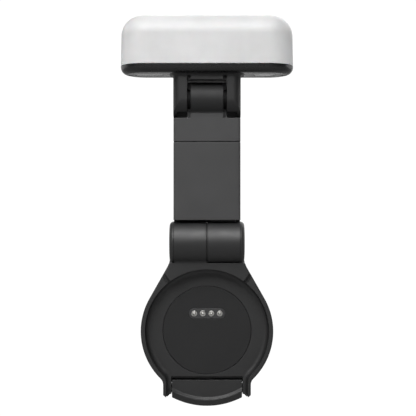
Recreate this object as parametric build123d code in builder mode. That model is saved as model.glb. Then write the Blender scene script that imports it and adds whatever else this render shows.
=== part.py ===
from build123d import *

import os
from math import asin, cos, radians, sin

# Document camera on a two-hinge arm with a round contact dock.
# Units are millimetres. X runs across the object, +Y points away from the user, +Z is up.
# The origin is the centre of the dock, on the front face of its contact disc.

# ---------------------------------------------------------------- driving dimensions
# Hinge axes, both parallel to X and both at the same depth
hinge_y = -2.5
lower_z = 52.2
upper_z = 136.3
run_gap = 0.05                  # radial clearance of every turning or sliding fit

# Cradle: the round dock with its neck and two legs
cradle_r = 39.0
rim_front = -6.8
neck_front = -8.0
cradle_back = 7.6
neck_half = 22.3
neck_top = 44.0
flank_angle = 29.6              # where the straight flank leaves the circle
leg_outer = 25.8
leg_inner = 24.0
leg_end = -39.2
pocket_r = 36.5
pocket_fillet = 2.8
floor_thickness = 2.0
floor_end = -27.4               # straight lower edge of the pocket's floor
tongue_slot_half = 21.2
cover_front = 5.8
plate_end_angle = 36.5          # half angle of the raised neck plate, from vertical
notch_angle = 3.2

# Contact disc and sprung contacts
disc_r = 26.2
disc_thickness = 1.2
seam = 0.2
pin_z = 9.9
pin_pitch = 5.08
pin_count = 4
insert_length = 21.6
insert_width = 6.1
sleeve_r = 1.78
sleeve_bore = 1.12
sleeve_back = 4.4
tip_r = 0.78
tip_front = -1.3

# Release tongue
tongue_half = 20.8
tongue_top = -29.6
tongue_r = 45.2
lip_r = 40.7
tongue_pivot_y = 3.2
tongue_pivot_z = -31.8
tongue_pin_r = 1.0
tongue_boss_half = 19.6
guard_bottom = -38.6            # guards behind the tongue's edges close its gaps from sight
guard_half = 19.9

# Lower hinge barrel
barrel_r = 12.4
barrel_half = 19.2
barrel_split = 0.3              # each half stops this far from the middle
split_chamfer = 0.3
cap_end = 22.0
barrel_clearance = 0.7
joint_ring_r = 11.6              # ring between the halves, seated in the turning one
joint_ring_depth = 1.2
web_depth = 5.0                 # web between the turning half and the arm, set back
web_y = -1.0
barrel_foot_fillet = 2.0
lower_shaft_r = 4.0
lower_bush_r = 6.0
pocket_depth_x = 12.0
core_r = 9.6

# Arm
arm_half = 19.65
arm_half_depth = 6.65
arm_bottom = 65.5
arm_seam_low = 111.25
arm_seam_high = 111.65
arm_shoulder = 125.4
arm_wall = 1.9
arm_edge_r = 1.8                # long front edges
arm_back_edge_r = 0.7
arm_end_edge_r = 0.25
arm_split_y = -1.2
spine_half = 12.0
spine_front = -4.6
spine_back = -0.6
lip_front = 1.9                 # lip of the rear cover, behind the top of the barrel
arm_front = hinge_y - arm_half_depth
arm_back = hinge_y + arm_half_depth

# Upper hinge
knuckle_r = 10.5
knuckle_half = 9.5
ear_inner = 11.6
ear_outer = 19.75
ear_skin = 17.6                 # the ears' lower front corner is cut back inside this
ear_cut_z = 128.8
ear_cut_y = -5.0
cheek_half = 11.42              # set-back cheeks of the knuckle fill the clevis gap
cheek_front = -6.0
washer_r = 6.4
web_bottom = 147.4
upper_shaft_r = 3.0
upper_bush_r = 5.0
ear_cap_r = 6.0
ear_cap_depth = 1.5

# Camera head
head_width = 101.7
head_depth = 31.2
head_corner = 15.4
head_bottom = 151.1
head_parting = 155.9
head_top = 185.8
shell_gap = 0.25
shell_taper = 1.1
shell_round = 12.0
tray_round = 4.3
shell_wall = 2.0
lens_x = 34.0
lamp_x = -34.0

os.makedirs("parts", exist_ok=True)


# ---------------------------------------------------------------- helpers
def front_plane(y):
    """Plane at depth y whose normal points to the front."""
    return Plane.XZ.offset(-y)


def side_plane(x):
    """Plane across the object at x: local x is Y and local y is Z."""
    return Plane.YZ.offset(x)


def save(builder, name):
    """Label a finished piece and write it as one STEP file."""
    builder.part.label = name
    export_step(builder.part, f"parts/{name}.step")


def save_group(pieces, name):
    """Write several identical solids as one node."""
    group = Compound(label=name, children=pieces)
    export_step(group, f"parts/{name}.step")


def ring(inner, outer, x0, x1, y, z):
    """A plain ring about an axis parallel to X, from x0 to x1."""
    with BuildPart() as turned_ring:
        with BuildSketch(side_plane(x0)):
            with Locations((y, z)):
                Circle(outer)
                Circle(inner, mode=Mode.SUBTRACT)
        extrude(amount=x1 - x0)
    return turned_ring.part.solid()


def screw(origin, direction, length, shank, head_r, head_height):
    """Pan-head screw: the underside of its head is at origin, the shank runs along direction."""
    seat = Plane(origin=origin, z_dir=direction)
    with BuildPart() as fastener:
        with BuildSketch(seat):
            Circle(shank)
        extrude(amount=length)
        chamfer(fastener.faces().sort_by(Axis(origin, direction))[-1].edges(), length=0.3 * shank)
        with BuildSketch(seat):
            Circle(head_r)
        extrude(amount=-head_height)
        crown = fastener.faces().sort_by(Axis(origin, direction))[0]
        fillet(crown.edges(), radius=0.3 * head_height)
        crown_plane = Plane(origin=seat.offset(-head_height).origin, z_dir=direction)
        with BuildSketch(crown_plane):
            RegularPolygon(radius=0.5 * head_r, side_count=6)
        extrude(amount=0.55 * head_height, mode=Mode.SUBTRACT)
    return fastener.part.solid()


def cap_middle(base_r, height):
    """Halfway point of a spherical cap's profile: its radius and its drop from the apex."""
    sphere_r = (base_r**2 + height**2) / (2 * height)
    half_angle = asin(base_r / sphere_r) / 2
    return sphere_r * sin(half_angle), sphere_r * (1 - cos(half_angle))


def cradle_outline(inset=0.0):
    """Front outline of the cradle: circle, straight flanks to the neck, and two long legs."""
    flank = radians(flank_angle)
    tangent = (cradle_r * cos(flank), cradle_r * sin(flank))
    flank_rise = (tangent[0] - neck_half) / sin(flank) * cos(flank)
    flank_top = (neck_half, tangent[1] + flank_rise)
    with BuildSketch() as outline:
        Circle(cradle_r)
        with BuildLine():
            Polyline(
                (-neck_half, neck_top), (neck_half, neck_top), flank_top, tangent,
                (-tangent[0], tangent[1]), (-flank_top[0], flank_top[1]), close=True,
            )
        make_face()
        with Locations((0, leg_end / 2 - 5)):
            Rectangle(2 * leg_outer, -leg_end)
        corners = outline.vertices()
        fillet(corners.filter_by_position(Axis.Y, flank_top[1] - 0.1, flank_top[1] + 0.1), radius=9)
        corners = outline.vertices()
        fillet(corners.filter_by_position(Axis.Y, neck_top - 0.1, neck_top + 0.1), radius=1.5)
        corners = outline.vertices().filter_by_position(Axis.Y, -31, -28)
        fillet(corners.filter_by(lambda v: abs(abs(v.X) - leg_outer) < 0.1), radius=5)
        if inset:
            offset(amount=-inset)
    return outline.sketch


def half_barrel(side):
    """One half of the lower hinge barrel, chamfered where the halves meet."""
    with BuildPart() as half:
        with BuildSketch(side_plane(side * barrel_split)):
            with Locations((hinge_y, lower_z)):
                Circle(barrel_r)
        extrude(amount=side * (barrel_half - barrel_split))
        chamfer(half.faces().sort_by(Axis.X)[0 if side > 0 else -1].edges(), length=split_chamfer)
    return half.part


def band(z_low, z_high):
    """A wide rectangle between two heights, for clipping sketches."""
    with BuildSketch() as clip:
        with Locations((0, (z_low + z_high) / 2)):
            Rectangle(120, z_high - z_low)
    return clip.sketch


outline = cradle_outline()
boss_places = [(17, 27.5), (-17, 27.5), (27.6, -11.5), (-27.6, -11.5)]

# ---------------------------------------------------------------- cradle shell
with BuildPart() as cradle_shell:
    with BuildSketch(front_plane(cradle_back)):
        add(outline)
    extrude(amount=cradle_back - rim_front)
    fillet(cradle_shell.faces().sort_by(Axis.Y)[0].outer_wire().edges(), radius=0.9)
    fillet(cradle_shell.faces().sort_by(Axis.Y)[-1].outer_wire().edges(), radius=1.4)

    # Raised plate on the neck, with radial ends
    with BuildSketch(front_plane(rim_front + 2.5)) as neck_plate:
        add(cradle_outline(0.25))
        reach = 80
        end = radians(plate_end_angle)
        with BuildLine():
            Polyline((0, 0), (reach * sin(end), reach * cos(end)),
                     (-reach * sin(end), reach * cos(end)), close=True)
        make_face(mode=Mode.INTERSECT)
        Circle(pocket_r - 0.4, mode=Mode.SUBTRACT)
    extrude(amount=rim_front + 2.5 - neck_front)
    plate_front = cradle_shell.faces().sort_by(Axis.Y)[0]
    fillet(plate_front.outer_wire().edges().filter_by_position(Axis.Z, 29, 45), radius=0.7)

    # Left half of the hinge barrel grows out of the neck
    add(half_barrel(-1))
    barrel_foot = cradle_shell.edges().filter_by(Axis.X)
    barrel_foot = barrel_foot.filter_by_position(Axis.Y, neck_front - 0.01, neck_front + 0.01)
    fillet(barrel_foot.filter_by_position(Axis.Z, 40.5, 41.6), radius=barrel_foot_fillet)

    # Room for the turning half on the right and for the cap on the left
    for x_start, x_stop in ((-barrel_split, cap_end + 2), (-cap_end - 2, -barrel_half)):
        with BuildSketch(side_plane(x_start)):
            with Locations((hinge_y, lower_z)):
                Circle(barrel_r + barrel_clearance)
        extrude(amount=x_stop - x_start, mode=Mode.SUBTRACT)
    with BuildSketch(side_plane(-barrel_split)):
        with Locations((hinge_y, lower_z)):
            Circle(joint_ring_r)
            Circle(joint_ring_r - 2.4, mode=Mode.SUBTRACT)
    extrude(amount=barrel_split + joint_ring_depth)

    # Round pocket, open between the legs, with a rounded foot to its wall
    with BuildSketch(front_plane(0)) as pocket:
        Circle(pocket_r)
        with Locations((0, -30)):
            Rectangle(2 * leg_inner, 40)
        meeting = pocket.vertices().filter_by_position(Axis.Y, -29, -26)
        fillet(meeting, radius=7)
    extrude(amount=20, mode=Mode.SUBTRACT)
    foot = cradle_shell.edges().filter_by_position(Axis.Y, -0.01, 0.01)
    fillet(foot.filter_by_position(Axis.Z, -42, 40), radius=pocket_fillet)

    # Slot of the release tongue; a wall behind its upper edge closes the gap from sight
    for slot_back, slot_top in ((2.7, floor_end), (cradle_back + 5, floor_end - 1.6)):
        with BuildSketch(front_plane(slot_back)):
            with Locations((0, slot_top - 20)):
                Rectangle(2 * tongue_slot_half, 40)
        extrude(amount=30, mode=Mode.SUBTRACT)
    # Guards behind the tongue's top and side edges
    with BuildSketch(front_plane(cradle_back)):
        with Locations((0, (floor_end - 1.6 + guard_bottom) / 2)):
            Rectangle(2 * tongue_slot_half, floor_end - 1.6 - guard_bottom)
            Rectangle(2 * guard_half, floor_end - 1.6 - guard_bottom, mode=Mode.SUBTRACT)
        with Locations((0, floor_end - 2.6)):
            Rectangle(2 * tongue_slot_half, 2.6)
    extrude(amount=cradle_back - cover_front)

    # Bevelled leg ends
    with BuildSketch(front_plane(cradle_back + 5)):
        with BuildLine():
            Polyline((0, -60), (0, -37.9), (22.0, -37.9), (23.4, leg_end), (leg_outer + 0.1, -37.3),
                     (40, -37.3), (40, -60), close=True)
        make_face()
        mirror(about=Plane.YZ)
    extrude(amount=30, mode=Mode.SUBTRACT)

    # Notches beside the neck plate
    with BuildSketch(front_plane(rim_front + 1.9)):
        for side in (-1, 1):
            near = radians(plate_end_angle) * side
            far = radians(plate_end_angle + notch_angle) * side
            with BuildLine():
                Polyline((33 * sin(near), 33 * cos(near)), (46 * sin(near), 46 * cos(near)),
                         (40 * sin(far), 40 * cos(far)), (33 * sin(far), 33 * cos(far)), close=True)
            make_face()
    extrude(amount=20, mode=Mode.SUBTRACT)

    # Seat of the contact disc, and the opening behind it
    with BuildSketch(front_plane(disc_thickness)):
        Circle(disc_r + seam)
    extrude(amount=5, mode=Mode.SUBTRACT)
    with BuildSketch(front_plane(floor_thickness + 1)):
        Circle(disc_r - 3)
    extrude(amount=5, mode=Mode.SUBTRACT)

    # Recess of the rear cover, and the cavity in front of it
    with BuildSketch(front_plane(cradle_back + 1)):
        add(cradle_outline(1.8))
        add(band(floor_end + 1.4, 39.5), mode=Mode.INTERSECT)
    extrude(amount=cradle_back + 1 - cover_front, mode=Mode.SUBTRACT)
    with BuildSketch(front_plane(cover_front)):
        add(cradle_outline(3.4))
        add(band(floor_end + 3.2, 37.0), mode=Mode.INTERSECT)
        with Locations(*boss_places):
            Circle(2.9, mode=Mode.SUBTRACT)
    extrude(amount=cover_front - floor_thickness, mode=Mode.SUBTRACT)
    with BuildSketch(front_plane(cover_front)):
        with Locations(*boss_places):
            Circle(0.95)
    extrude(amount=cover_front - floor_thickness - 0.6, mode=Mode.SUBTRACT)

    # Core of the half barrel, leaving a hub round the shaft
    with BuildSketch(side_plane(-barrel_half)):
        with Locations((hinge_y, lower_z)):
            Circle(core_r)
    extrude(amount=barrel_half - 14.0, mode=Mode.SUBTRACT)
    with BuildSketch(side_plane(-14.0)):
        with Locations((hinge_y, lower_z)):
            Circle(core_r)
            Circle(6.6, mode=Mode.SUBTRACT)
    extrude(amount=11.0, mode=Mode.SUBTRACT)
    with BuildSketch(side_plane(-barrel_half)):
        with Locations((hinge_y, lower_z)):
            Circle(lower_shaft_r)
    extrude(amount=barrel_half, mode=Mode.SUBTRACT)

    # Passage for the dock cable, from the neck's cavity into the barrel's core
    with BuildSketch(Plane.XY.offset(34)):
        with Locations((-8.5, 3.9)):
            Circle(1.7)
    extrude(amount=12, mode=Mode.SUBTRACT)

    # Blind holes in the legs for the tongue's pivot pin
    with BuildSketch(side_plane(-24.0)):
        with Locations((tongue_pivot_y, tongue_pivot_z)):
            Circle(tongue_pin_r)
    extrude(amount=48.0, mode=Mode.SUBTRACT)
save(cradle_shell, "cradle_shell")

# ---------------------------------------------------------------- cradle rear cover and its screws
with BuildPart() as cradle_rear_cover:
    with BuildSketch(front_plane(cradle_back)):
        add(cradle_outline(1.95))
        add(band(floor_end + 1.55, 39.35), mode=Mode.INTERSECT)
    extrude(amount=cradle_back - cover_front - 0.02)
    fillet(cradle_rear_cover.faces().sort_by(Axis.Y)[-1].outer_wire().edges(), radius=0.4)
    with BuildSketch(front_plane(cradle_back)):
        with Locations(*boss_places):
            Circle(2.2)
    extrude(amount=1.1, mode=Mode.SUBTRACT)
    with BuildSketch(front_plane(cradle_back)):
        with Locations(*boss_places):
            Circle(1.2)
    extrude(amount=10, mode=Mode.SUBTRACT)
    # Shallow blank recess in the middle of the cover
    with BuildSketch(front_plane(cradle_back)):
        RectangleRounded(34, 18, 2.5)
    extrude(amount=0.3, mode=Mode.SUBTRACT)
save(cradle_rear_cover, "cradle_rear_cover")

save_group(
    [screw((x, cradle_back - 1.1, z), (0, -1, 0), 3.6, 0.95, 1.95, 1.0) for x, z in boss_places],
    "cradle_screws",
)

# ---------------------------------------------------------------- contact disc, insert and contacts
pin_xs = [(i - (pin_count - 1) / 2) * pin_pitch for i in range(pin_count)]

with BuildPart() as contact_disc:
    with BuildSketch(front_plane(disc_thickness)):
        Circle(disc_r)
        with Locations((0, pin_z)):
            SlotOverall(insert_length + 0.1, insert_width + 0.1, mode=Mode.SUBTRACT)
    extrude(amount=disc_thickness)
    rim_edge = contact_disc.faces().sort_by(Axis.Y)[0].outer_wire().edges()
    fillet(rim_edge, radius=0.25)
save(contact_disc, "contact_disc")

with BuildPart() as pin_insert:
    with BuildSketch(front_plane(3.4)):
        with Locations((0, pin_z)):
            SlotOverall(insert_length, insert_width)
    extrude(amount=3.4)
    chamfer(pin_insert.faces().sort_by(Axis.Y)[0].outer_wire().edges(), length=0.2)
    with BuildSketch(front_plane(5)):
        with Locations(*[(x, pin_z) for x in pin_xs]):
            Circle(sleeve_r)
    extrude(amount=10, mode=Mode.SUBTRACT)
save(pin_insert, "pin_insert")


def pin_plane(x):
    """Section plane of one contact: local x is the radius and local y is the depth."""
    return Plane(origin=(x, 0, pin_z), x_dir=(1, 0, 0), z_dir=(0, 0, 1))


def turned_on_pin(x, profile):
    """Solid of revolution about the axis of the contact at x."""
    with BuildPart() as turned:
        with BuildSketch(pin_plane(x)):
            with BuildLine():
                Polyline(*profile, close=True)
            make_face()
        revolve(axis=Axis((x, 0, pin_z), (0, 1, 0)))
    return turned.part.solid()


base_front = 0.65
base_back = 2.2
sleeve_floor = 3.9
sleeve_profile = [
    (tip_r + run_gap, -0.05), (tip_r + run_gap + 0.25, -0.3), (sleeve_r - 0.25, -0.3),
    (sleeve_r, -0.05), (sleeve_r, sleeve_back), (0, sleeve_back), (0, sleeve_floor),
    (sleeve_bore, sleeve_floor), (sleeve_bore, base_front - 0.1), (tip_r + run_gap, base_front - 0.1),
]
save_group([turned_on_pin(x, sleeve_profile) for x in pin_xs], "pin_sleeves")

dome_height = 0.5
dome_middle_r, dome_middle_drop = cap_middle(tip_r, dome_height)

for number, x in enumerate(pin_xs, start=1):
    with BuildPart() as contact_pin:
        with BuildSketch(pin_plane(x)):
            with BuildLine():
                Polyline((0, tip_front), (0, base_back), (sleeve_bore - run_gap, base_back),
                         (sleeve_bore - run_gap, base_front), (tip_r, base_front),
                         (tip_r, tip_front + dome_height))
                ThreePointArc((tip_r, tip_front + dome_height),
                              (dome_middle_r, tip_front + dome_middle_drop), (0, tip_front))
            make_face()
        revolve(axis=Axis((x, 0, pin_z), (0, 1, 0)))
    save(contact_pin, f"contact_pin_{number}")
    spring_profile = [(0.6, base_back), (0.6, sleeve_floor), (0.95, sleeve_floor), (0.95, base_back)]
    with BuildPart() as pin_spring:
        add(turned_on_pin(x, spring_profile))
    save(pin_spring, f"pin_spring_{number}")

with BuildPart() as contact_board:
    with BuildSketch(front_plane(sleeve_back + 0.9)):
        with Locations((0, pin_z - 3)):
            RectangleRounded(36, 20, 2)
    extrude(amount=0.9)
    with BuildSketch(front_plane(sleeve_back)):
        with Locations((-10, 1.5), (10.5, 1.5)):
            Rectangle(5, 4)
        with Locations((0, 1.5)):
            Rectangle(8, 3.2)
    extrude(amount=1.1)
save(contact_board, "contact_board")

with BuildPart() as dock_cable:
    with BuildSketch(Plane.XY.offset(pin_z + 7.1)):
        with Locations((-8.5, 3.9)):
            Circle(1.2)
    extrude(amount=29.0)
save(dock_cable, "dock_cable")

# ---------------------------------------------------------------- release tongue
dish_plane = Plane(origin=(0, 0, 0), x_dir=(0, 0, -1), z_dir=(1, 0, 0))
with BuildPart() as release_tongue:
    # A turned dish with a raised lip, cut down to the strip between the legs
    with BuildSketch(dish_plane):
        with BuildLine():
            Polyline((0, -0.3), (lip_r - 1.0, -0.3), (lip_r + 0.3, -1.5), (lip_r + 0.9, -1.6),
                     (tongue_r - 0.5, 0.6), (tongue_r, 1.2), (tongue_r, 3.4), (tongue_r - 1.0, 4.2),
                     (lip_r, 4.2), (lip_r - 1.5, 2.4), (0, 2.4), close=True)
        make_face()
    revolve(axis=Axis.Y)
    with BuildSketch(front_plane(10)):
        with Locations((0, (tongue_top - tongue_r - 1) / 2)):
            Rectangle(2 * tongue_half, tongue_r + 1 + tongue_top)
    extrude(amount=20, mode=Mode.INTERSECT)
    # Pivot boss along the back of the upper edge, open in the middle for the spring
    with BuildSketch(side_plane(-tongue_boss_half)):
        with Locations((tongue_pivot_y, tongue_pivot_z)):
            Circle(2.3)
    extrude(amount=2 * tongue_boss_half)
    with BuildSketch(Plane.XY.offset(tongue_pivot_z - 3.2)):
        with Locations((0, 4.6)):
            Rectangle(11, 7.2)
    extrude(amount=7, mode=Mode.SUBTRACT)
    with BuildSketch(side_plane(-tongue_half)):
        with Locations((tongue_pivot_y, tongue_pivot_z)):
            Circle(tongue_pin_r + run_gap)
    extrude(amount=2 * tongue_half, mode=Mode.SUBTRACT)
save(release_tongue, "release_tongue")

with BuildPart() as tongue_pin:
    with BuildSketch(side_plane(-23.9)):
        with Locations((tongue_pivot_y, tongue_pivot_z)):
            Circle(tongue_pin_r)
    extrude(amount=47.8)
    chamfer(tongue_pin.faces().filter_by(Axis.X).edges(), length=0.25)
save(tongue_pin, "tongue_pin")

with BuildPart() as tongue_spring:
    add(ring(tongue_pin_r, 1.85, -4.6, 4.6, tongue_pivot_y, tongue_pivot_z))
save(tongue_spring, "tongue_spring")

# ---------------------------------------------------------------- lower friction hinge
with BuildPart() as lower_shaft:
    with BuildSketch(side_plane(-16.0)):
        with Locations((hinge_y, lower_z)):
            Circle(8.4)
    extrude(amount=2.0)
    with BuildSketch(side_plane(-14.0)):
        with Locations((hinge_y, lower_z)):
            Circle(lower_shaft_r)
    extrude(amount=32.4)
    with BuildSketch(side_plane(-17)):
        with Locations((hinge_y, lower_z)):
            Circle(2.2)
    extrude(amount=40, mode=Mode.SUBTRACT)
save(lower_shaft, "lower_shaft")

save_group([ring(lower_shaft_r + run_gap, lower_bush_r, 0.4, pocket_depth_x - 0.1, hinge_y, lower_z)],
           "lower_friction_bush")
washer_step = 0.75
save_group(
    [ring(lower_shaft_r, 8.2, pocket_depth_x + 0.15 + i * washer_step,
          pocket_depth_x + 0.8 + i * washer_step, hinge_y, lower_z) for i in range(3)],
    "lower_disc_springs",
)
with BuildPart() as lower_nut:
    with BuildSketch(side_plane(14.6)):
        with Locations((hinge_y, lower_z)):
            RegularPolygon(radius=7.4, side_count=6)
            Circle(lower_shaft_r, mode=Mode.SUBTRACT)
    extrude(amount=3.2)
save(lower_nut, "lower_nut")


def end_cap(side):
    """Round cap closing one end of the lower barrel; its spigot fits inside the barrel."""
    with BuildPart() as cap:
        with BuildSketch(side_plane(side * barrel_half)):
            with Locations((hinge_y, lower_z)):
                Circle(barrel_r)
        extrude(amount=side * (cap_end - barrel_half))
        outer = cap.faces().sort_by(Axis.X)[-1 if side > 0 else 0]
        fillet(outer.edges(), radius=2.5)
        inner = cap.faces().sort_by(Axis.X)[0 if side > 0 else -1]
        chamfer(inner.edges(), length=0.25)
        with BuildSketch(side_plane(side * barrel_half)):
            with Locations((hinge_y, lower_z)):
                Circle(core_r - 0.05)
                Circle(core_r - 1.2, mode=Mode.SUBTRACT)
        extrude(amount=-side * 1.2)
    return cap


save(end_cap(-1), "left_end_cap")
save(end_cap(1), "right_end_cap")

# ---------------------------------------------------------------- arm
arm_screw_places = [(x, z) for x in (-8.5, 8.5) for z in (76.0, 104.0)]

with BuildPart() as arm_spine:
    # Right half of the lower barrel
    add(half_barrel(1))
    # Web up into the arm
    with BuildSketch(Plane.XY.offset(lower_z)):
        with Locations((8.95, web_y)):
            RectangleRounded(16.1, web_depth, 1.5)
    extrude(amount=73.0 - lower_z)
    # Groove for the ring of the still half
    with BuildSketch(side_plane(0)):
        with Locations((hinge_y, lower_z)):
            Circle(joint_ring_r + 0.2)
            Circle(joint_ring_r - 3.3, mode=Mode.SUBTRACT)
    extrude(amount=joint_ring_depth + 0.3, mode=Mode.SUBTRACT)
    # Flat spine
    with BuildSketch(front_plane(spine_back)):
        with Locations((0, (68.0 + 121.0) / 2)):
            RectangleRounded(2 * spine_half, 121.0 - 68.0, 1.5)
    extrude(amount=spine_back - spine_front)
    # Lightening windows between the screws
    with BuildSketch(front_plane(spine_back)):
        with Locations((0, 85), (0, 96)):
            SlotOverall(14, 5)
    extrude(amount=spine_back - spine_front, mode=Mode.SUBTRACT)
    with BuildSketch(front_plane(spine_back)):
        with Locations(*arm_screw_places):
            Circle(1.2)
    extrude(amount=20, mode=Mode.SUBTRACT)
    # Bush seat and the pocket for the disc springs and nut
    with BuildSketch(side_plane(0)):
        with Locations((hinge_y, lower_z)):
            Circle(lower_bush_r)
    extrude(amount=pocket_depth_x, mode=Mode.SUBTRACT)
    with BuildSketch(side_plane(pocket_depth_x)):
        with Locations((hinge_y, lower_z)):
            Circle(core_r)
    extrude(amount=10, mode=Mode.SUBTRACT)
save(arm_spine, "arm_spine")

arm_middle = (arm_bottom + arm_seam_low) / 2
arm_length = arm_seam_low - arm_bottom

with BuildPart() as arm_front_cover:
    with BuildSketch(front_plane(arm_split_y - 0.1)):
        with Locations((0, arm_middle)):
            Rectangle(2 * arm_half, arm_length)
    extrude(amount=arm_split_y - 0.1 - arm_front)
    front_edges = arm_front_cover.faces().sort_by(Axis.Y)[0].edges()
    fillet(front_edges.filter_by(Axis.Z), radius=arm_edge_r)
    for end in (0, -1):
        rim = arm_front_cover.faces().sort_by(Axis.Z)[end].edges().sort_by(Axis.Y)
        fillet(rim[:-1], radius=arm_end_edge_r)
    # Hollow, open at the back and at the top
    with BuildSketch(front_plane(arm_split_y)):
        with Locations((0, arm_middle + arm_wall)):
            RectangleRounded(2 * (arm_half - arm_wall), arm_length, 0.6)
    extrude(amount=arm_split_y - arm_front - arm_wall, mode=Mode.SUBTRACT)
    # Screw bosses
    with BuildSketch(front_plane(spine_front - 0.1)):
        with Locations(*arm_screw_places):
            Circle(2.4)
    extrude(amount=spine_front - 0.1 - arm_front - arm_wall + 0.1)
    with BuildSketch(front_plane(spine_front)):
        with Locations(*arm_screw_places):
            Circle(1.0)
    extrude(amount=2.4, mode=Mode.SUBTRACT)
    # Opening in the bottom wall for the spine's web
    with BuildSketch(Plane.XY.offset(arm_bottom - 1)):
        with Locations((8.95, web_y)):
            RectangleRounded(16.7, web_depth + 0.6, 1.8)
    extrude(amount=5, mode=Mode.SUBTRACT)
save(arm_front_cover, "arm_front_cover")

with BuildPart() as arm_rear_cover:
    with BuildSketch(front_plane(arm_back)):
        with Locations((0, arm_middle)):
            Rectangle(2 * arm_half, arm_length)
    extrude(amount=arm_back - arm_split_y - 0.1)
    with BuildSketch(side_plane(-arm_half)):
        with Locations(((lip_front + arm_back) / 2, arm_bottom)):
            Rectangle(arm_back - lip_front, 5.2)
        with Locations((hinge_y, lower_z)):
            Circle(barrel_r + 0.55, mode=Mode.SUBTRACT)
    extrude(amount=2 * arm_half)
    fillet(arm_rear_cover.faces().sort_by(Axis.Y)[-1].edges(), radius=arm_back_edge_r)
    with BuildSketch(front_plane(arm_back - arm_wall)):
        with Locations((0, arm_middle + arm_wall)):
            RectangleRounded(2 * (arm_half - arm_wall), arm_length, 0.6)
    extrude(amount=20, mode=Mode.SUBTRACT)
    with BuildSketch(front_plane(arm_back - arm_wall + 0.1)):
        with Locations(*arm_screw_places):
            Circle(2.9)
    extrude(amount=arm_back - arm_wall + 0.1 - spine_back - 0.1)
    with BuildSketch(front_plane(arm_back)):
        with Locations(*arm_screw_places):
            Circle(2.2)
    extrude(amount=1.5, mode=Mode.SUBTRACT)
    with BuildSketch(front_plane(arm_back)):
        with Locations(*arm_screw_places):
            Circle(1.2)
    extrude(amount=20, mode=Mode.SUBTRACT)
    with BuildSketch(Plane.XY.offset(arm_bottom - 1)):
        with Locations((8.95, web_y)):
            RectangleRounded(16.7, web_depth + 0.6, 1.8)
    extrude(amount=5, mode=Mode.SUBTRACT)
save(arm_rear_cover, "arm_rear_cover")

save_group(
    [screw((x, arm_back - 1.5, z), (0, -1, 0), 9.2, 0.98, 1.95, 1.3) for x, z in arm_screw_places],
    "arm_screws",
)

with BuildPart() as arm_link:
    # Full-width head of the arm
    with BuildSketch(Plane.XY.offset(arm_seam_high)):
        with Locations((0, hinge_y)):
            Rectangle(2 * arm_half, 2 * arm_half_depth)
    extrude(amount=arm_shoulder - arm_seam_high)
    fillet(arm_link.edges().filter_by(Axis.Z).sort_by(Axis.Y)[:2], radius=arm_edge_r)
    fillet(arm_link.edges().filter_by(Axis.Z).sort_by(Axis.Y)[-2:], radius=arm_back_edge_r)
    fillet(arm_link.faces().sort_by(Axis.Z)[-1].edges(), radius=0.5)
    fillet(arm_link.faces().sort_by(Axis.Z)[0].edges(), radius=arm_end_edge_r)
    # Tongue and knuckle of the upper hinge
    with BuildSketch(side_plane(-knuckle_half)):
        with Locations((hinge_y, upper_z)):
            Circle(knuckle_r)
        with Locations((hinge_y, (arm_shoulder - 3 + upper_z) / 2)):
            Rectangle(2 * arm_half_depth, upper_z - arm_shoulder + 3)
    extrude(amount=2 * knuckle_half)
    # Cheeks of the knuckle, set back from its front, with seats for the washers
    with BuildSketch(side_plane(-cheek_half)):
        with Locations((hinge_y, upper_z)):
            Circle(knuckle_r)
        with Locations(((cheek_front + arm_back) / 2, (arm_shoulder - 3 + upper_z) / 2)):
            Rectangle(arm_back - cheek_front, upper_z - arm_shoulder + 3)
        with Locations((cheek_front - 10, upper_z)):
            Rectangle(20, 40, mode=Mode.SUBTRACT)
    extrude(amount=2 * cheek_half)
    for side in (-1, 1):
        with BuildSketch(side_plane(side * knuckle_half)):
            with Locations((hinge_y, upper_z)):
                Circle(washer_r + 0.3)
        extrude(amount=side * 4, mode=Mode.SUBTRACT)
    # Spigot that plugs into the covers
    with BuildSketch(Plane.XY.offset(arm_seam_high)):
        with Locations((0, hinge_y)):
            RectangleRounded(2 * (arm_half - arm_wall) - 0.2, 2 * (arm_half_depth - arm_wall) - 0.2, 0.5)
    extrude(amount=-3.6)
    # Socket for the spine
    with BuildSketch(Plane.XY.offset(arm_seam_high - 5)):
        with Locations((0, (spine_front + spine_back) / 2)):
            Rectangle(2 * spine_half + 0.1, spine_back - spine_front + 0.1)
    extrude(amount=121.2 - arm_seam_high + 5, mode=Mode.SUBTRACT)
    # Cable way behind the spine, up to the knuckle's bore
    with BuildSketch(Plane.XY.offset(arm_seam_high - 5)):
        with Locations((0, spine_back + 0.6)):
            Rectangle(9, 1.3)
    extrude(amount=upper_z - arm_seam_high + 5, mode=Mode.SUBTRACT)
    with BuildSketch(side_plane(-knuckle_half)):
        with Locations((hinge_y, upper_z)):
            Circle(upper_bush_r)
    extrude(amount=2 * knuckle_half, mode=Mode.SUBTRACT)
save(arm_link, "arm_link")

with BuildPart() as arm_cable:
    with BuildSketch(front_plane(spine_back + 0.75)):
        with Locations((0, 102)):
            Rectangle(8, 56)
    extrude(amount=0.5)
save(arm_cable, "arm_cable")

# ---------------------------------------------------------------- upper friction hinge
save_group([ring(upper_shaft_r + run_gap, upper_bush_r, -knuckle_half + 0.1, knuckle_half - 0.1,
                 hinge_y, upper_z)], "upper_friction_bush")
save_group(
    [ring(upper_shaft_r, washer_r, side * (knuckle_half + 0.15) - (0 if side > 0 else 1.9),
          side * (knuckle_half + 0.15) + (1.9 if side > 0 else 0), hinge_y, upper_z)
     for side in (-1, 1)],
    "upper_washers",
)
with BuildPart() as upper_shaft:
    with BuildSketch(side_plane(-ear_outer + ear_cap_depth)):
        with Locations((hinge_y, upper_z)):
            Circle(upper_shaft_r)
            Circle(1.3, mode=Mode.SUBTRACT)
    extrude(amount=2 * (ear_outer - ear_cap_depth))
save(upper_shaft, "upper_shaft")

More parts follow.
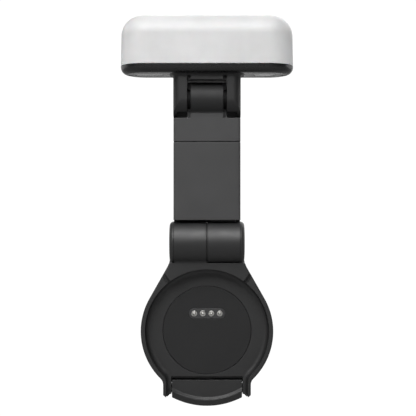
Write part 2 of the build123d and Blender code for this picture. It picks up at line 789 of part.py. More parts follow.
ear_caps = []
for side in (-1, 1):
    with BuildPart() as ear_cap:
        with BuildSketch(side_plane(side * (ear_outer - ear_cap_depth))):
            with Locations((hinge_y, upper_z)):
                Circle(ear_cap_r)
        extrude(amount=side * (ear_cap_depth - 0.1))
        fillet(ear_cap.faces().sort_by(Axis.X)[-1 if side > 0 else 0].edges(), radius=0.4)
    ear_caps.append(ear_cap.part.solid())
save_group(ear_caps, "ear_caps")

# ---------------------------------------------------------------- head bracket
bracket_screw_places = [(x, hinge_y + y) for x in (-15.5, 15.5) for y in (-5.0, 5.0)]
flare = 2.2
with BuildPart() as head_bracket:
    # Side profile of the ears, rounded in plan
    with BuildSketch(side_plane(-ear_outer)):
        with Locations((hinge_y, upper_z)):
            Circle(knuckle_r)
        with Locations((hinge_y, (upper_z + head_bottom) / 2)):
            Rectangle(2 * knuckle_r, head_bottom - upper_z)
    extrude(amount=2 * ear_outer)
    with BuildSketch(Plane.XY.offset(upper_z - 20)):
        with Locations((0, hinge_y)):
            RectangleRounded(2 * ear_outer, 2 * knuckle_r, 4.5)
    extrude(amount=60, mode=Mode.INTERSECT)
    # Flare where the bracket meets the tray
    with BuildSketch(Plane.XY.offset(head_bottom)):
        with Locations((0, hinge_y)):
            RectangleRounded(2 * ear_outer + 4 * flare, 2 * knuckle_r + 4 * flare, 4.5 + 2 * flare)
    extrude(amount=1)
    root = head_bracket.edges().filter_by_position(Axis.Z, head_bottom - 0.01, head_bottom + 0.01)
    fillet(root.filter_by_position(Axis.X, -ear_outer - 0.1, ear_outer + 0.1)
           .filter_by_position(Axis.Y, hinge_y - knuckle_r - 0.1, hinge_y + knuckle_r + 0.1),
           radius=flare)
    with BuildSketch(Plane.XY.offset(head_bottom)):
        Rectangle(100, 100)
    extrude(amount=5, mode=Mode.SUBTRACT)
    # Clevis gap, with rounded inner corners under the web
    with BuildSketch(front_plane(30)) as clevis_gap:
        with Locations((0, web_bottom - 20)):
            Rectangle(2 * ear_inner, 40)
        fillet(clevis_gap.vertices().group_by(Axis.Y)[-1], radius=0.5)
    extrude(amount=60, mode=Mode.SUBTRACT)
    # Ears cut back at their lower front corner, and grooves beside the web
    for side in (-1, 1):
        with BuildSketch(front_plane(ear_cut_y)):
            with Locations((side * (ear_skin + knuckle_half) / 2, ear_cut_z - 5)):
                Rectangle(ear_skin - knuckle_half, 10)
        extrude(amount=20, mode=Mode.SUBTRACT)
        with BuildSketch(front_plane(hinge_y - knuckle_r + 2.5)):
            with Locations((side * (ear_inner + knuckle_half) / 2, web_bottom)):
                Rectangle(ear_inner - knuckle_half, 4.8)
        extrude(amount=5, mode=Mode.SUBTRACT)
    # Shaft bores and cap recesses
    with BuildSketch(side_plane(-ear_outer)):
        with Locations((hinge_y, upper_z)):
            Circle(upper_shaft_r)
    extrude(amount=2 * ear_outer, mode=Mode.SUBTRACT)
    for side in (-1, 1):
        with BuildSketch(side_plane(side * (ear_outer - ear_cap_depth))):
            with Locations((hinge_y, upper_z)):
                Circle(ear_cap_r + 0.1)
        extrude(amount=side * 5, mode=Mode.SUBTRACT)
    with BuildSketch(Plane.XY.offset(head_bottom)):
        with Locations(*bracket_screw_places):
            Circle(1.2)
    extrude(amount=-5.5, mode=Mode.SUBTRACT)
save(head_bracket, "head_bracket")

# ---------------------------------------------------------------- camera head
tray_floor = 2.0
tray_screw_places = [(-45.2, hinge_y), (45.2, hinge_y)]
chassis_screw_places = [(-22.0, hinge_y - 7.5), (22.0, hinge_y - 7.5), (0.0, hinge_y + 7.5)]
chassis_bottom = 163.0
chassis_top = 164.5
board_bottom = 168.0
lens_r = 6.5
lamp_length = 17.0
lamp_width = 8.0

with BuildPart() as head_tray:
    with BuildSketch(Plane.XY.offset(head_bottom)):
        with Locations((0, hinge_y)):
            RectangleRounded(head_width, head_depth, head_corner)
    extrude(amount=head_parting - head_bottom)
    fillet(head_tray.faces().sort_by(Axis.Z)[0].edges(), radius=tray_round)
    with BuildSketch(Plane.XY.offset(head_bottom + tray_floor)):
        with Locations((0, hinge_y)):
            RectangleRounded(head_width - 8, head_depth - 8, head_corner - 4)
    extrude(amount=10, mode=Mode.SUBTRACT)
    # Upstand that locates the shell
    with BuildSketch(Plane.XY.offset(head_bottom + tray_floor)):
        with Locations((0, hinge_y)):
            RectangleRounded(head_width - 5.0, head_depth - 5.0, head_corner - 2.5)
            RectangleRounded(head_width - 8, head_depth - 8, head_corner - 4, mode=Mode.SUBTRACT)
    extrude(amount=head_parting - head_bottom - tray_floor + 1.6)
    # Windows
    with BuildSketch(Plane.XY.offset(head_bottom)):
        with Locations((lens_x, hinge_y)):
            Circle(lens_r)
        with Locations((lamp_x, hinge_y)):
            SlotOverall(lamp_length, lamp_width)
    extrude(amount=tray_floor, mode=Mode.SUBTRACT)
    # Screw holes: bracket screws from inside, shell screws from below
    with BuildSketch(Plane.XY.offset(head_bottom)):
        with Locations(*bracket_screw_places, *tray_screw_places):
            Circle(1.25)
    extrude(amount=tray_floor, mode=Mode.SUBTRACT)
    with BuildSketch(Plane.XY.offset(head_bottom - 0.01)):
        with Locations(*tray_screw_places):
            Circle(2.1)
    extrude(amount=1.11, mode=Mode.SUBTRACT)
save(head_tray, "head_tray")


def head_block(inset, base_z, height, rounding):
    """Rounded head form: the outer shape of the shell, or its hollow when inset."""
    with BuildPart() as block:
        with BuildSketch(Plane.XY.offset(base_z)):
            with Locations((0, hinge_y)):
                RectangleRounded(head_width - 2 * inset, head_depth - 2 * inset, head_corner - inset)
        extrude(amount=height, taper=shell_taper)
        fillet(block.faces().sort_by(Axis.Z)[-1].edges(), radius=rounding)
    return block.part


shell_base = head_parting + shell_gap
shell_height = head_top - shell_base
with BuildPart() as head_shell:
    add(head_block(0, shell_base, shell_height, shell_round))
    add(head_block(shell_wall, shell_base, shell_height - shell_wall, shell_round - shell_wall),
        mode=Mode.SUBTRACT)
    # Posts for the tray screws, tied to the end walls by ribs
    with BuildSketch(Plane.XY.offset(head_parting + 2.0)):
        with Locations(*tray_screw_places):
            Circle(2.6)
        for side in (-1, 1):
            with Locations((side * 47.5, hinge_y)):
                Rectangle(4.6, 1.8)
    extrude(amount=14)
    with BuildSketch(Plane.XY.offset(head_parting + 1.0)):
        with Locations(*tray_screw_places):
            Circle(0.95)
    extrude(amount=10, mode=Mode.SUBTRACT)
    # Posts for the chassis screws
    with BuildSketch(Plane.XY.offset(chassis_top)):
        with Locations(*chassis_screw_places):
            Circle(2.4)
    extrude(until=Until.NEXT)
    with BuildSketch(Plane.XY.offset(chassis_top)):
        with Locations(*chassis_screw_places):
            Circle(0.95)
    extrude(amount=6, mode=Mode.SUBTRACT)
save(head_shell, "head_shell")

with BuildPart() as head_chassis:
    with BuildSketch(Plane.XY.offset(chassis_bottom)):
        with Locations((0, hinge_y)):
            RectangleRounded(84, head_depth - 8.5, 8)
        with Locations((lens_x - 8, hinge_y)):
            Rectangle(1.6, 9, mode=Mode.SUBTRACT)
        with Locations((0, hinge_y - 5)):
            SlotOverall(24, 5, mode=Mode.SUBTRACT)
    extrude(amount=chassis_top - chassis_bottom)
    with BuildSketch(Plane.XY.offset(chassis_top)):
        with Locations((0, hinge_y)):
            with GridLocations(64, 15, 2, 2):
                Circle(2.2)
    extrude(amount=board_bottom - chassis_top)
    with BuildSketch(Plane.XY.offset(chassis_bottom)):
        with Locations(*chassis_screw_places):
            Circle(1.2)
    extrude(amount=5, mode=Mode.SUBTRACT)
save(head_chassis, "head_chassis")

save_group([screw((x, y, chassis_bottom), (0, 0, 1), 6.0, 0.93, 1.9, 1.0)
            for x, y in chassis_screw_places], "chassis_screws")

with BuildPart() as main_board:
    with BuildSketch(Plane.XY.offset(board_bottom)):
        with Locations((0, hinge_y)):
            RectangleRounded(80, 21, 1.5)
        with Locations(*chassis_screw_places):
            Circle(3.4, mode=Mode.SUBTRACT)
    extrude(amount=1.2)
    for place, size, height in (((12, hinge_y - 1), (12, 12), 1.4), ((-9, hinge_y - 3), (9, 9), 1.1),
                                ((-26, hinge_y), (8, 6), 0.9), ((31, hinge_y + 2), (6, 9), 1.8)):
        with BuildSketch(Plane.XY.offset(board_bottom + 1.2)):
            with Locations(place):
                Rectangle(*size)
        extrude(amount=height)
save(main_board, "main_board")

# ---------------------------------------------------------------- camera module
lens_plane_top = head_bottom + tray_floor
with BuildPart() as lens_window:
    with BuildSketch(Plane.XY.offset(head_bottom + 0.1)):
        with Locations((lens_x, hinge_y)):
            Circle(lens_r - 0.05)
    extrude(amount=tray_floor - 0.6)
    chamfer(lens_window.faces().sort_by(Axis.Z)[0].edges(), length=0.2)
save(lens_window, "lens_window")

with BuildPart() as lens_barrel:
    # Flanged tube that stands on the tray round the window
    with BuildSketch(Plane.XY.offset(lens_plane_top)):
        with Locations((lens_x, hinge_y)):
            Circle(8.2)
            Circle(4.1, mode=Mode.SUBTRACT)
    extrude(amount=1.2)
    with BuildSketch(Plane.XY.offset(lens_plane_top)):
        with Locations((lens_x, hinge_y)):
            Circle(5.4)
            Circle(4.1, mode=Mode.SUBTRACT)
    extrude(amount=7.6)
    # Front hood below the flange, just above the window
    with BuildSketch(Plane.XY.offset(head_bottom + tray_floor - 0.4)):
        with Locations((lens_x, hinge_y)):
            Circle(6.2)
            Circle(3.6, mode=Mode.SUBTRACT)
    extrude(amount=0.5)
save(lens_barrel, "lens_barrel")

lens_elements = []
element_r = 4.05
for height, thickness, bulge in ((0.5, 1.3, 0.4), (3.1, 1.0, 0.25), (5.0, 1.1, 0.35)):
    middle_r, middle_drop = cap_middle(element_r, bulge)
    with BuildPart() as lens_element:
        with BuildSketch(Plane(origin=(lens_x, hinge_y, lens_plane_top + height),
                               x_dir=(1, 0, 0), z_dir=(0, -1, 0))):
            with BuildLine():
                ThreePointArc((0, thickness + bulge), (middle_r, thickness + bulge - middle_drop),
                              (element_r, thickness))
                Line((element_r, thickness), (element_r, 0))
                ThreePointArc((element_r, 0), (middle_r, middle_drop - bulge), (0, -bulge))
                Line((0, -bulge), (0, thickness + bulge))
            make_face()
        revolve(axis=Axis((lens_x, hinge_y, 0), (0, 0, 1)))
    lens_elements.append(lens_element.part.solid())
save_group(lens_elements, "lens_elements")

with BuildPart() as sensor_board:
    with BuildSketch(Plane.XY.offset(lens_plane_top + 7.6)):
        with Locations((lens_x, hinge_y)):
            RectangleRounded(17, 15, 1)
    extrude(amount=0.9)
    with BuildSketch(Plane.XY.offset(lens_plane_top + 7.0)):
        with Locations((lens_x, hinge_y)):
            Rectangle(5.2, 4.2)
    extrude(amount=0.7)
save(sensor_board, "sensor_board")

with BuildPart() as camera_flex:
    with BuildSketch(Plane.XY.offset(lens_plane_top + 8.5)):
        with Locations((lens_x - 8, hinge_y)):
            Rectangle(0.3, 7)
    extrude(amount=board_bottom - lens_plane_top - 8.5)
save(camera_flex, "camera_flex")

# ---------------------------------------------------------------- lamp
with BuildPart() as lamp_window:
    with BuildSketch(Plane.XY.offset(head_bottom + 0.1)):
        with Locations((lamp_x, hinge_y)):
            SlotOverall(lamp_length - 0.1, lamp_width - 0.1)
    extrude(amount=tray_floor - 0.2)
    chamfer(lamp_window.faces().sort_by(Axis.Z)[0].edges(), length=0.2)
save(lamp_window, "lamp_window")

with BuildPart() as lamp_board:
    with BuildSketch(Plane.XY.offset(lens_plane_top + 2.0)):
        with Locations((lamp_x, hinge_y)):
            RectangleRounded(20, 11, 1)
    extrude(amount=1.0)
    with BuildSketch(Plane.XY.offset(lens_plane_top + 1.3)):
        with Locations((lamp_x, hinge_y)):
            with GridLocations(4.6, 1, 3, 1):
                Rectangle(2.2, 2.2)
    extrude(amount=0.8)
    # Legs that stand on the tray
    with BuildSketch(Plane.XY.offset(lens_plane_top)):
        with Locations((lamp_x, hinge_y)):
            with GridLocations(17.6, 8.8, 2, 2):
                Circle(0.7)
    extrude(amount=2.2)
save(lamp_board, "lamp_board")

# ---------------------------------------------------------------- head screws
save_group([screw((x, y, head_bottom + tray_floor), (0, 0, -1), 6.4, 1.15, 2.3, 1.2)
            for x, y in bracket_screw_places], "bracket_screws")
save_group([screw((x, y, head_bottom + 1.1), (0, 0, 1), 8.0, 0.93, 1.95, 0.9)
            for x, y in tray_screw_places], "tray_screws")
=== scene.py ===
import math

import bpy
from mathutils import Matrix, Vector


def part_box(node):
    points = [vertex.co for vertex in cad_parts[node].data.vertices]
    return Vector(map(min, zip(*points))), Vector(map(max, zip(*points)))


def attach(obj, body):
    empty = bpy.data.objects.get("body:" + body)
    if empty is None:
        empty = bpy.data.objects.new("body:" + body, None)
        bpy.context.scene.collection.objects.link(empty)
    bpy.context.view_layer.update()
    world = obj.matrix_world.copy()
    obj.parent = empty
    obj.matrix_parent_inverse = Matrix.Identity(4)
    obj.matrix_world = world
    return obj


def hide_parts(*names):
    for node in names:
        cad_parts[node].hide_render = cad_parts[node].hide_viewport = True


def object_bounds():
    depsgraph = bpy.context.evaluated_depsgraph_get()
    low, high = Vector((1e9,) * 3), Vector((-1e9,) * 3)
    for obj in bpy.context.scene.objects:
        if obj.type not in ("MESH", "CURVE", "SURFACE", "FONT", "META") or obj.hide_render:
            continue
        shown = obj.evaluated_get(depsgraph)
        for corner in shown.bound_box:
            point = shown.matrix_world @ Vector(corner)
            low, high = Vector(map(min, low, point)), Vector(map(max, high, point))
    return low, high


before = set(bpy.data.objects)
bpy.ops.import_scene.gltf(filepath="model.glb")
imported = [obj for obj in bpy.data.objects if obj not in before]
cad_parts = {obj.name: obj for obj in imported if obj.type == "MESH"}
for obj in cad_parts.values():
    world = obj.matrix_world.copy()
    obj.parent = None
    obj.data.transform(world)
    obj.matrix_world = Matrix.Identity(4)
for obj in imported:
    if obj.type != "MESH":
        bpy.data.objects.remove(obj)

# Looks of the document camera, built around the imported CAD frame.
# Everything is in metres, in the row frame: X across, +Y away from the user, +Z up.
cad_low, cad_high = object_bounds()
MM = 0.001

# Camera: level, square to the object's front
CAMERA_X = 0.6 * MM
CAMERA_Y = -594 * MM
CAMERA_Z = 72.56 * MM
SENSOR = 36.0
FOCAL_PIXELS = 1000
FRAME_PIXELS = 416

# Finishes
BEVEL_SAMPLES = 6
EDGE_REACH = 0.3 * MM
# Painted shade: above KNUCKLE_FOOT the arm's knuckle takes a darker colour, standing in for the
# head's shadow
KNUCKLE_FOOT = 128.6 * MM
KNUCKLE_FADE = 0.4 * MM
KNUCKLE_PAINTED_SHADE = (0.022, 0.022, 0.0225)

# Torsion spring of the release tongue
COIL_STEPS = 24
WIRE_SIDES = 10
SPRING_WIRE_R = 0.25 * MM
SPRING_PITCH = 2.3 * SPRING_WIRE_R
SPRING_INSET = 1.05 * SPRING_WIRE_R

# Floor and light
FLOOR_GAP = 14 * MM
FLOOR_REACH = 3.0
SEEN_WHITE = 1.05
GLOW = 0.01
# name: azimuth, elevation, distance, (width, height), watts
LIGHTS = {
    "key": (-12, 48, 1.2, (0.9, 0.9), 15.5),
    "front": (-20, 10, 1.6, (2.4, 1.2), 1.6),
    "left": (-115, 5, 1.2, (1.0, 1.4), 4.0),
    "right": (112, 5, 1.2, (1.0, 1.4), 5.0),
    "rear": (165, 34, 1.3, (1.2, 0.8), 6.0),
    "back": (180, -6, 1.4, (2.4, 1.4), 8.5),
}


# ---------------------------------------------------------------- node helpers
class Surface:
    """One procedural material being wired."""

    def __init__(self, name):
        self.material = bpy.data.materials.new(name)
        self.material.use_nodes = True
        self.tree = self.material.node_tree
        self.tree.nodes.clear()
        self.output = self.add("ShaderNodeOutputMaterial")
        self.shader = self.add("ShaderNodeBsdfPrincipled")
        self.link(self.shader, "BSDF", self.output, "Surface")
        self.coordinates = self.add("ShaderNodeTexCoord")
        self.bump = None

    def add(self, kind, **settings):
        node = self.tree.nodes.new(kind)
        for key, value in settings.items():
            setattr(node, key, value)
        return node

    def link(self, source, output, target, entry):
        self.tree.links.new(source.outputs[output], target.inputs[entry])

    def feed(self, source, output, entry):
        """Links to the shader itself."""
        self.link(source, output, self.shader, entry)

    def set(self, **values):
        """Plain values on the shader's own sockets."""
        for key, value in values.items():
            self.shader.inputs[key.replace("_", " ")].default_value = value

    def noise(self, size, detail=3.0, roughness=0.5, stretch=(1, 1, 1)):
        """Noise whose features are about size metres across."""
        place = self.add("ShaderNodeMapping")
        place.inputs["Scale"].default_value = stretch
        self.link(self.coordinates, "Object", place, "Vector")
        node = self.add("ShaderNodeTexNoise")
        node.inputs["Scale"].default_value = 1 / size
        node.inputs["Detail"].default_value = detail
        node.inputs["Roughness"].default_value = roughness
        self.link(place, "Vector", node, "Vector")
        return node

    def spread(self, source, output, low, high, start=0.3, stop=0.7):
        """Maps source's start to stop onto low to high."""
        node = self.add("ShaderNodeMapRange")
        node.inputs["From Min"].default_value = start
        node.inputs["From Max"].default_value = stop
        node.inputs["To Min"].default_value = low
        node.inputs["To Max"].default_value = high
        self.link(source, output, node, "Value")
        return node

    def tint(self, factor, output, first, second):
        """Colour between first and second by factor."""
        node = self.add("ShaderNodeMix", data_type="RGBA")
        node.inputs["A"].default_value = (*first, 1)
        node.inputs["B"].default_value = (*second, 1)
        self.link(factor, output, node, "Factor")
        return node

    def bevel(self, radius):
        """Normal that rounds the edges over radius."""
        node = self.add("ShaderNodeBevel", samples=BEVEL_SAMPLES)
        node.inputs["Radius"].default_value = radius
        return node

    def edge(self, radius):
        """0 on flat faces, rising to 1 along outer and inner edges."""
        soft = self.bevel(radius)
        plain = self.add("ShaderNodeNewGeometry")
        dot = self.add("ShaderNodeVectorMath", operation="DOT_PRODUCT")
        self.link(soft, "Normal", dot, 0)
        self.link(plain, "True Normal", dot, 1)
        return self.spread(dot, "Value", 1.0, 0.0, 0.8, 0.995)

    def relief(self, source, output, strength, depth, radius=None):
        """Bump, over the edge rounding when there is one."""
        node = self.add("ShaderNodeBump")
        node.inputs["Strength"].default_value = strength
        node.inputs["Distance"].default_value = depth
        self.link(source, output, node, "Height")
        if self.bump:
            self.link(self.bump, "Normal", node, "Normal")
        elif radius:
            self.link(self.bevel(radius), "Normal", node, "Normal")
        self.feed(node, "Normal", "Normal")
        self.bump = node


def moulded(name, colour, roughness, grain=0.35 * MM, strength=0.25, wear=0.02, edge=0.25 * MM):
    """Moulded plastic or coat: fine grain, faint flow marks and slightly paler edges."""
    s = Surface(name)
    cloud = s.noise(24 * MM, 4)
    dark = [c * 0.93 for c in colour]
    light = [c * 1.07 for c in colour]
    body = s.tint(s.spread(cloud, "Fac", 0, 1), "Result", dark, light)
    worn = [c + wear for c in colour]
    mix = s.tint(s.edge(EDGE_REACH), "Result", colour, worn)
    s.link(body, "Result", mix, "A")
    s.feed(mix, "Result", "Base Color")
    patch = s.noise(6 * MM, 5, 0.6)
    s.feed(s.spread(patch, "Fac", roughness - 0.04, roughness + 0.04), "Result", "Roughness")
    s.relief(s.noise(grain, 2), "Fac", strength, 0.02 * MM, edge)
    s.relief(s.noise(18 * MM, 2), "Fac", 0.12, 0.03 * MM)
    return s


def white_shell():
    """Satin white head."""
    s = moulded("white_shell", (0.78, 0.78, 0.78), 0.42, 0.4 * MM, 0.12, 0.0, 0.2 * MM)
    s.set(Subsurface_Weight=0.04, Subsurface_Scale=1.0 * MM)
    return s.material


def black_body():
    """Satin black of the cradle, caps and release tongue."""
    s = moulded("black_body", (0.014, 0.014, 0.0144), 0.52, wear=0.006)
    s.set(Specular_IOR_Level=0.85)
    return s.material


def black_tray():
    """Smoother black of the head's underside."""
    s = moulded("black_tray", (0.014, 0.014, 0.0144), 0.28, 0.3 * MM, 0.03, 0.004)
    s.set(Specular_IOR_Level=0.6)
    return s.material


def black_arm():
    """Grey-black arm, with painted shade on the knuckle above the shoulder: its colour turns
    darker there to stand in for the head's shadow.
    """
    s = moulded("black_arm", (0.074, 0.074, 0.075), 0.55)
    s.set(Specular_IOR_Level=0.3)
    arm_colour = s.shader.inputs["Base Color"].links[0].from_node
    # Painted shade: the colour turns darker above the shoulder, in place of the shadow the head
    # casts on the knuckle
    height = s.add("ShaderNodeSeparateXYZ")
    s.link(s.coordinates, "Object", height, "Vector")
    above = s.spread(height, "Z", 0, 1, KNUCKLE_FOOT, KNUCKLE_FOOT + KNUCKLE_FADE)
    knuckle_painted_shade = s.tint(above, "Result", KNUCKLE_PAINTED_SHADE, KNUCKLE_PAINTED_SHADE)
    s.link(arm_colour, "Result", knuckle_painted_shade, "A")
    s.feed(knuckle_painted_shade, "Result", "Base Color")
    return s.material


def black_disc():
    """Matte black of the contact disc."""
    return moulded("black_disc", (0.018, 0.018, 0.0185), 0.52, 0.3 * MM, 0.2, 0.006).material


def black_insert():
    """Semi-gloss black round the contacts and the lens."""
    return moulded("black_insert", (0.06, 0.06, 0.061), 0.40, 0.6 * MM, 0.06, 0.01).material


def black_metal():
    """Powder coat on cast metal: an even pebbled skin."""
    s = moulded("black_metal", (0.014, 0.014, 0.0146), 0.52, 0.5 * MM, 0.3, 0.006)
    s.set(Specular_IOR_Level=0.85)
    return s.material


def black_bracket_painted_shade():
    """The bracket's powder coat, a darker and duller copy of the barrel's, painting in the head's
    shade on the ears.
    """
    # Painted shade: colour and gloss are lowered to stand in for the head's shadow on the ears
    s = moulded("black_bracket_painted_shade", (0.010, 0.010, 0.0104), 0.56, 0.5 * MM, 0.3, 0.006)
    s.set(Specular_IOR_Level=0.62)
    return s.material


def black_washer_painted_shade():
    """Dull polymer washer, coloured near-black as painted shade for the shadowed gaps beside the
    knuckle.
    """
    # Painted shade: the near-black colour stands in for the shadow in the gaps between ears and
    # knuckle
    s = moulded("black_washer_painted_shade", (0.008, 0.008, 0.0082), 0.65, 0.4 * MM, 0.2, 0.004)
    s.set(Specular_IOR_Level=0.25)
    return s.material


def metal(name, colour, roughness, stretch, grain):
    """Bare metal with tool marks along one direction and faint staining."""
    s = Surface(name)
    s.set(Metallic=1.0)
    stain = s.noise(4 * MM, 4, 0.6)
    dull = [c * 0.82 for c in colour]
    s.feed(s.tint(s.spread(stain, "Fac", 0, 1), "Result", dull, colour), "Result", "Base Color")
    marks = s.noise(grain, 3, 0.6, stretch)
    s.feed(s.spread(marks, "Fac", roughness * 0.75, roughness * 1.3), "Result", "Roughness")
    s.relief(marks, "Fac", 0.2, 0.01 * MM, 0.12 * MM)
    return s


def contact_metal():
    return metal("contact_metal", (0.88, 0.87, 0.84), 0.38, (1, 1, 1), 0.5 * MM).material


def steel():
    return metal("steel", (0.55, 0.55, 0.56), 0.32, (8, 1, 1), 0.9 * MM).material


def bush_brass():
    return metal("bush_brass", (0.70, 0.55, 0.28), 0.38, (1, 1, 1), 0.2 * MM).material


def chassis_aluminium():
    return metal("chassis_aluminium", (0.72, 0.73, 0.74), 0.36, (1, 12, 1), 1.2 * MM).material


def circuit_board():
    """Solder mask with copper tracks showing faintly through it."""
    s = Surface("circuit_board")
    tracks = s.add("ShaderNodeTexVoronoi", feature="F1", distance="CHEBYCHEV")
    tracks.inputs["Scale"].default_value = 1 / (2.4 * MM)
    s.link(s.coordinates, "Object", tracks, "Vector")
    shape = s.spread(tracks, "Distance", 0, 1, 0.42, 0.46)
    mask = s.tint(shape, "Result", (0.012, 0.10, 0.045), (0.03, 0.17, 0.08))
    s.feed(mask, "Result", "Base Color")
    s.feed(s.spread(s.noise(3 * MM), "Fac", 0.25, 0.36), "Result", "Roughness")
    s.relief(shape, "Result", 0.4, 0.03 * MM)
    return s.material


def cable():
    """Matte cable jacket with faint extrusion lines."""
    s = Surface("cable")
    cloud = s.noise(5 * MM, 4)
    black = (0.02, 0.02, 0.02)
    dusty = (0.035, 0.035, 0.036)
    s.feed(s.tint(s.spread(cloud, "Fac", 0, 1), "Result", black, dusty), "Result", "Base Color")
    s.feed(s.spread(cloud, "Fac", 0.5, 0.65), "Result", "Roughness")
    s.relief(s.noise(0.4 * MM, 2, 0.5, (1, 1, 0.05)), "Fac", 0.3, 0.02 * MM)
    return s.material


def glass(name, colour, roughness, transmission):
    """Polished glass, with a faint film of dust that changes its gloss."""
    s = Surface(name)
    dust = s.noise(3 * MM, 6, 0.7)
    shade = [c * 0.92 for c in colour]
    s.feed(s.tint(s.spread(dust, "Fac", 0, 1), "Result", shade, colour), "Result", "Base Color")
    s.feed(s.spread(dust, "Fac", roughness, roughness + 0.05), "Result", "Roughness")
    s.set(Transmission_Weight=transmission, IOR=1.5)
    s.relief(s.noise(2 * MM), "Fac", 0.02, 0.01 * MM, 0.15 * MM)
    return s


def lens_glass():
    """Coated lens glass."""
    s = glass("lens_glass", (0.75, 0.80, 0.85), 0.02, 0.9)
    s.set(Coat_Weight=0.6, Coat_Tint=(0.55, 0.6, 0.95, 1))
    return s.material


def window_glass():
    """Dark smoked glass of the lens and lamp windows."""
    return glass("window_glass", (0.05, 0.05, 0.055), 0.16, 0.85).material


FINISHES = {
    "white_shell": white_shell,
    "black_body": black_body,
    "black_tray": black_tray,
    "black_arm": black_arm,
    "black_metal": black_metal,
    "black_disc": black_disc,
    "black_insert": black_insert,
    "contact_metal": contact_metal,
    "steel": steel,
    "bush_brass": bush_brass,
    "chassis_aluminium": chassis_aluminium,
    "circuit_board": circuit_board,
    "cable": cable,
    "lens_glass": lens_glass,
    "window_glass": window_glass,
}

# CAD nodes with a finish of their own, both with painted shade
NODE_FINISHES = {"head_bracket": black_bracket_painted_shade, "upper_washers": black_washer_painted_shade}


def finish_nodes():
    """Every CAD node gets the detailed material of its slot, or its own."""
    made = {name: maker() for name, maker in FINISHES.items()}
    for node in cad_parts.values():
        for place in node.material_slots:
            place.material = made[place.material.name.split(".")[0]]
    for name, maker in NODE_FINISHES.items():
        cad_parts[name].material_slots[0].material = maker()
    return made


# ---------------------------------------------------------------- pieces
def coil_path(start, stop, centre, radius, turns):
    """Evenly spaced points of a coil along X."""
    points = []
    for step in range(turns * COIL_STEPS + 1):
        part = step / (turns * COIL_STEPS)
        angle = 2 * math.pi * turns * part
        x = start + (stop - start) * part
        y = centre.y + radius * math.cos(angle)
        z = centre.z + radius * math.sin(angle)
        points.append(Vector((x, y, z)))
    return points


def wire(name, points, radius):
    """Round wire along the points, closed at both ends."""
    mesh = bpy.data.meshes.new(name)
    rings = []
    corners = []
    for index, point in enumerate(points):
        ahead = points[min(index + 1, len(points) - 1)] - points[max(index - 1, 0)]
        side = ahead.cross(Vector((1, 0, 0))).normalized()
        up = ahead.cross(side).normalized()
        ring = []
        for step in range(WIRE_SIDES):
            turn = 2 * math.pi * step / WIRE_SIDES
            ring.append(len(corners))
            corners.append(point + radius * (side * math.cos(turn) + up * math.sin(turn)))
        rings.append(ring)
    faces = [rings[0][::-1], rings[-1]]
    for near, far in zip(rings, rings[1:]):
        for step in range(WIRE_SIDES):
            after = (step + 1) % WIRE_SIDES
            faces.append((near[step], near[after], far[after], far[step]))
    mesh.from_pydata(corners, [], faces)
    mesh.validate()
    mesh.shade_smooth()
    piece = bpy.data.objects.new(name, mesh)
    bpy.context.scene.collection.objects.link(piece)
    return piece


def torsion_spring(finish):
    """The coils of the release tongue's spring, round its pin."""
    low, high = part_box("tongue_spring")
    centre = (low + high) / 2
    outer = (high.y - low.y) / 2
    points = coil_path(
        low.x + SPRING_WIRE_R,
        high.x - SPRING_WIRE_R,
        centre,
        outer - SPRING_INSET,
        int((high.x - low.x) / SPRING_PITCH),
    )
    piece = wire("tongue_spring_coils", points, SPRING_WIRE_R)
    piece.data.materials.append(finish)
    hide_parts("tongue_spring")
    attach(piece, "cradle")


# ---------------------------------------------------------------- stage and light
def stage_material():
    """Pale paper: white as seen directly, dimmer in what it throws back at the object."""
    s = Surface("stage_white")
    cloud = s.noise(0.5, 2)
    shade = s.tint(s.spread(cloud, "Fac", 0, 1), "Result", (0.30, 0.30, 0.30), (0.33, 0.33, 0.33))
    s.feed(shade, "Result", "Base Color")
    s.feed(s.spread(cloud, "Fac", 0.85, 0.95), "Result", "Roughness")
    s.relief(s.noise(2 * MM, 3), "Fac", 0.1, 0.1 * MM)
    white = s.add("ShaderNodeEmission")
    white.inputs["Strength"].default_value = SEEN_WHITE
    path = s.add("ShaderNodeLightPath")
    blend = s.add("ShaderNodeMixShader")
    s.link(path, "Is Camera Ray", blend, "Fac")
    s.tree.links.new(s.shader.outputs["BSDF"], blend.inputs[1])
    s.tree.links.new(white.outputs["Emission"], blend.inputs[2])
    # Clear from below, so that the object's underside can be looked at
    sides = s.add("ShaderNodeNewGeometry")
    clear = s.add("ShaderNodeBsdfTransparent")
    one_way = s.add("ShaderNodeMixShader")
    s.link(sides, "Backfacing", one_way, "Fac")
    s.tree.links.new(blend.outputs["Shader"], one_way.inputs[1])
    s.tree.links.new(clear.outputs["BSDF"], one_way.inputs[2])
    s.link(one_way, "Shader", s.output, "Surface")
    return s.material


def floor():
    """Plain pale floor, a little below the object."""
    z = cad_low.z - FLOOR_GAP
    mesh = bpy.data.meshes.new("floor")
    sides = ((-1, -1), (1, -1), (1, 1), (-1, 1))
    corners = [(FLOOR_REACH * x, FLOOR_REACH * y, z) for x, y in sides]
    mesh.from_pydata(corners, [], [(0, 1, 2, 3)])
    mesh.materials.append(stage_material())
    plane = bpy.data.objects.new("floor", mesh)
    bpy.context.scene.collection.objects.link(plane)


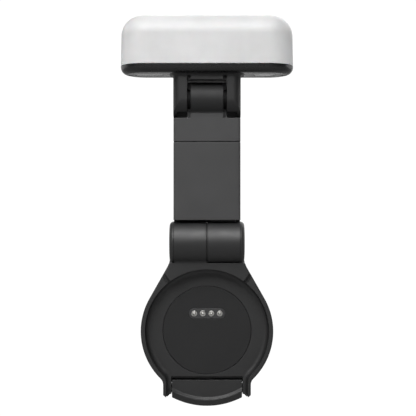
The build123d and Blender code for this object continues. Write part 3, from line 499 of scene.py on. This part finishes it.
def soft_light(name, azimuth, elevation, distance, size, power):
    """Rectangular soft box aimed at the middle of the object, not seen itself."""
    a, e = math.radians(azimuth), math.radians(elevation)
    back = Vector((math.sin(a) * math.cos(e), -math.cos(a) * math.cos(e), math.sin(e)))
    data = bpy.data.lights.new(name, "AREA")
    data.shape = "RECTANGLE"
    data.size, data.size_y = size
    data.energy = power
    light = bpy.data.objects.new(name, data)
    light.location = (cad_low + cad_high) / 2 + back * distance
    light.rotation_mode = "QUATERNION"
    light.rotation_quaternion = back.to_track_quat("Z", "Y")
    light.visible_camera = False
    bpy.context.scene.collection.objects.link(light)


def studio():
    """White surroundings as seen directly, a faint even glow on the object, and the lights."""
    world = bpy.data.worlds.new("studio")
    world.use_nodes = True
    tree = world.node_tree
    tree.nodes.clear()
    out = tree.nodes.new("ShaderNodeOutputWorld")
    mix = tree.nodes.new("ShaderNodeMixShader")
    glow = tree.nodes.new("ShaderNodeBackground")
    seen = tree.nodes.new("ShaderNodeBackground")
    path = tree.nodes.new("ShaderNodeLightPath")
    glow.inputs["Color"].default_value = (1, 1, 1, 1)
    glow.inputs["Strength"].default_value = GLOW
    seen.inputs["Color"].default_value = (1, 1, 1, 1)
    seen.inputs["Strength"].default_value = SEEN_WHITE
    tree.links.new(path.outputs["Is Camera Ray"], mix.inputs["Fac"])
    tree.links.new(glow.outputs[0], mix.inputs[1])
    tree.links.new(seen.outputs[0], mix.inputs[2])
    tree.links.new(mix.outputs[0], out.inputs["Surface"])
    bpy.context.scene.world = world
    for name, setting in LIGHTS.items():
        soft_light(name, *setting)


def camera():
    """Level camera in front of the object."""
    data = bpy.data.cameras.new("camera")
    data.sensor_width = SENSOR
    data.lens = SENSOR * FOCAL_PIXELS / FRAME_PIXELS
    data.clip_start = 0.01
    data.clip_end = 20
    eye = bpy.data.objects.new("camera", data)
    eye.location = (CAMERA_X, CAMERA_Y, CAMERA_Z)
    eye.rotation_euler = (math.pi / 2, 0, 0)
    bpy.context.scene.collection.objects.link(eye)
    bpy.context.scene.camera = eye


def look():
    """Plain display transform."""
    view = bpy.context.scene.view_settings
    view.view_transform = "Standard"
    view.look = "None"
    view.exposure = 0
    view.gamma = 1


finishes = finish_nodes()
torsion_spring(finishes["steel"])
camera()
floor()
studio()
look()
